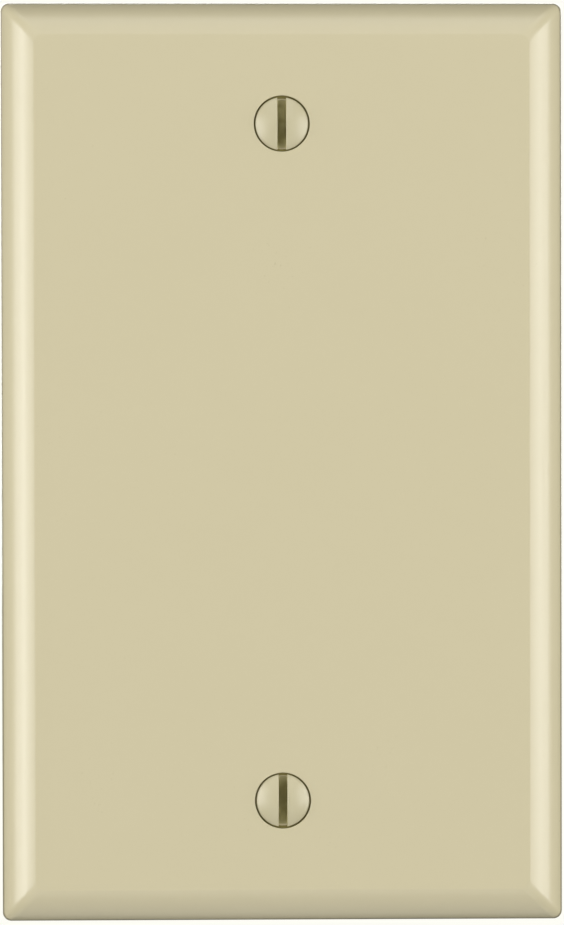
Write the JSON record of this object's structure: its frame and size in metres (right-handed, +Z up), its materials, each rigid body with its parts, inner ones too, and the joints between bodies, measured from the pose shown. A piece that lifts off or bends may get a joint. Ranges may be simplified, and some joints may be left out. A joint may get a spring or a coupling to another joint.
{
  "type": "blank wall plate cover",
  "caption": "Ivory single-gang blank wall plate with rolled edges, a ribbed hollow back and slotted oval-head screws held captive by washers.",
  "frame": {"origin": "centre of the plate's back, on the plane of the wall that the rim rests on", "axes": "+Z up along the plate's height, +X to the right seen from the front, +Y into the wall, so the face looks towards -Y"},
  "size_m": [0.0698, 0.0138, 0.1142],
  "materials": {
    "plate_plastic": "smooth moulded ivory plastic, soft gloss",
    "painted_screw": "ivory enamel on the head, zinc-plated steel shank",
    "washer_nylon": "natural nylon"
  },
  "bodies": {
    "plate": {"wall_plate": "plate_plastic"},
    "upper_washer": {"upper_retaining_washer": "washer_nylon"},
    "upper_screw": {"upper_screw": "painted_screw"},
    "lower_washer": {"lower_retaining_washer": "washer_nylon"},
    "lower_screw": {"lower_screw": "painted_screw"}
  },
  "joints": [
    {"name": "upper_screw_travel", "type": "slide", "parent": "plate", "child": "upper_washer", "axis": [0, -1, 0], "range_m": [0, 0.00238]},
    {"name": "upper_screw_turn", "type": "hinge", "parent": "upper_washer", "child": "upper_screw", "pos_m": [0, 0, 0.04167], "axis": [0, -1, 0], "range_deg": [0, 1080]},
    {"name": "lower_screw_travel", "type": "slide", "parent": "plate", "child": "lower_washer", "axis": [0, -1, 0], "range_m": [0, 0.00238]},
    {"name": "lower_screw_turn", "type": "hinge", "parent": "lower_washer", "child": "lower_screw", "pos_m": [0, 0, -0.04167], "axis": [0, -1, 0], "range_deg": [0, 1080]}
  ],
  "couplings": [
    {"joint": "upper_screw_turn", "follows": "upper_screw_travel", "rad_per_m": 7915.8},
    {"joint": "lower_screw_turn", "follows": "lower_screw_travel", "rad_per_m": 7915.8}
  ]
}
